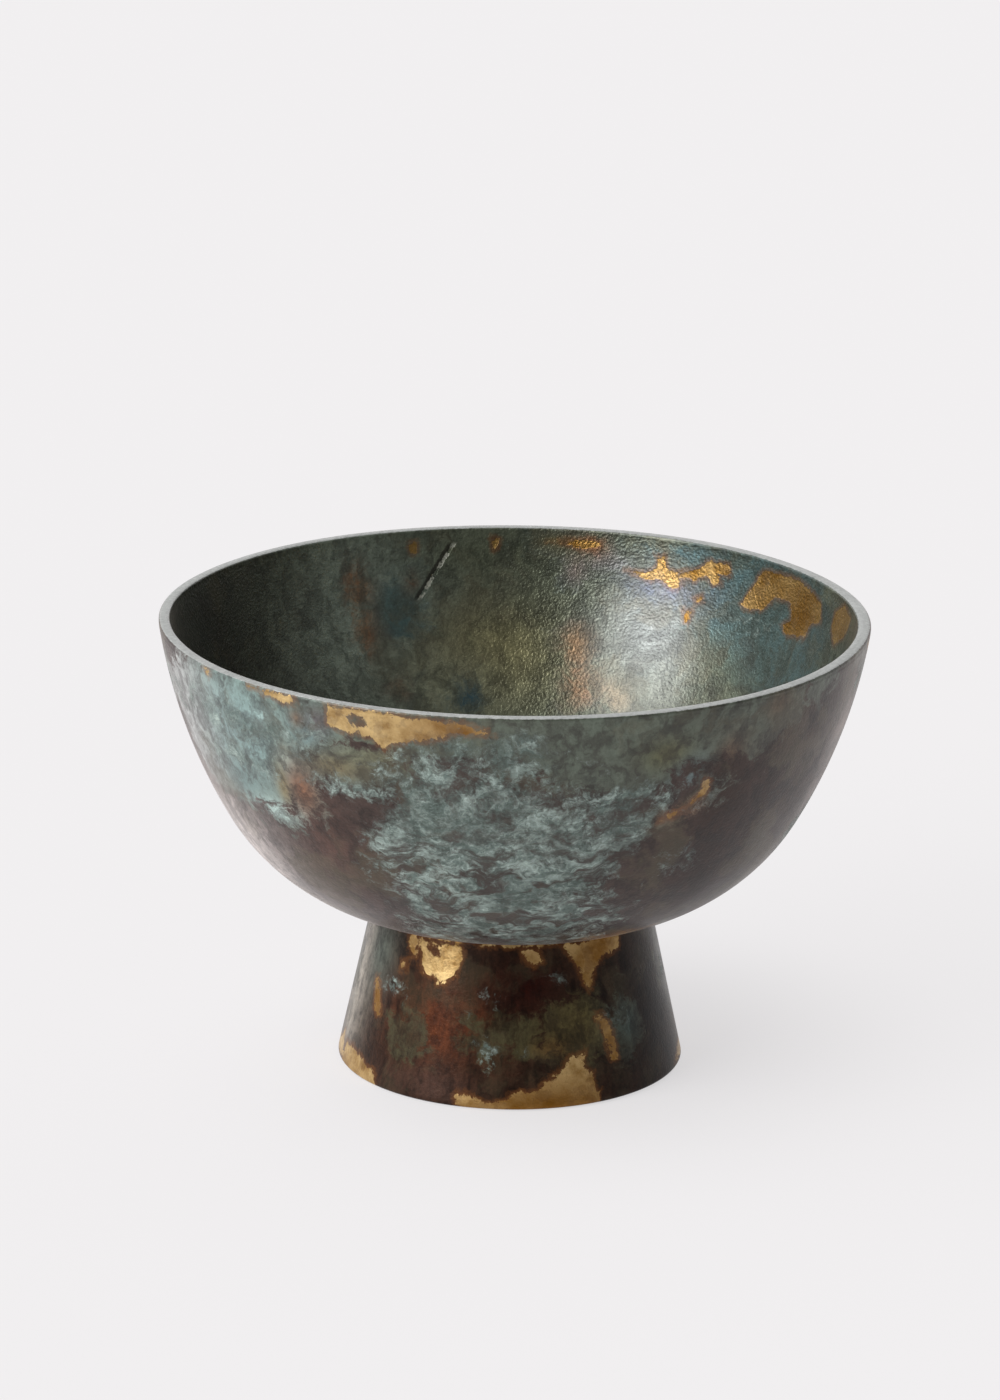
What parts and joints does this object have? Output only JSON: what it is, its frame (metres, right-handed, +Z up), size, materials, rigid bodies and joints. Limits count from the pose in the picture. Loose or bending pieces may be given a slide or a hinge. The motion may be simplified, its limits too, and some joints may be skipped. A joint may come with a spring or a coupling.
{
  "type": "compote bowl",
  "caption": "Footed compote bowl: a deep round cast bowl clamped to a hollow conical foot, with felt pads under the standing ring.",
  "frame": {"origin": "on the table, under the axis of the bowl and foot", "axes": "+Z up along the axis of the bowl and foot; -Y towards the side the picture shows"},
  "size_m": [0.2496, 0.2496, 0.162],
  "materials": {
    "bowl_patina": "cast, patinated in brown, blue-green and gold under a satin lacquer, with a bare satin lip",
    "foot_patina": "cast, patinated in dark red-brown and gold under a glossier lacquer",
    "zinc_steel": "bright zinc plate",
    "felt": "pressed wool felt"
  },
  "bodies": {
    "root": {"bowl": "bowl_patina", "foot": "foot_patina", "stud": "zinc_steel", "clamp_washer": "zinc_steel", "spring_washer": "zinc_steel", "hex_nut": "zinc_steel", "felt_pad_1": "felt", "felt_pad_2": "felt", "felt_pad_3": "felt", "felt_pad_4": "felt"}
  },
  "joints": []
}
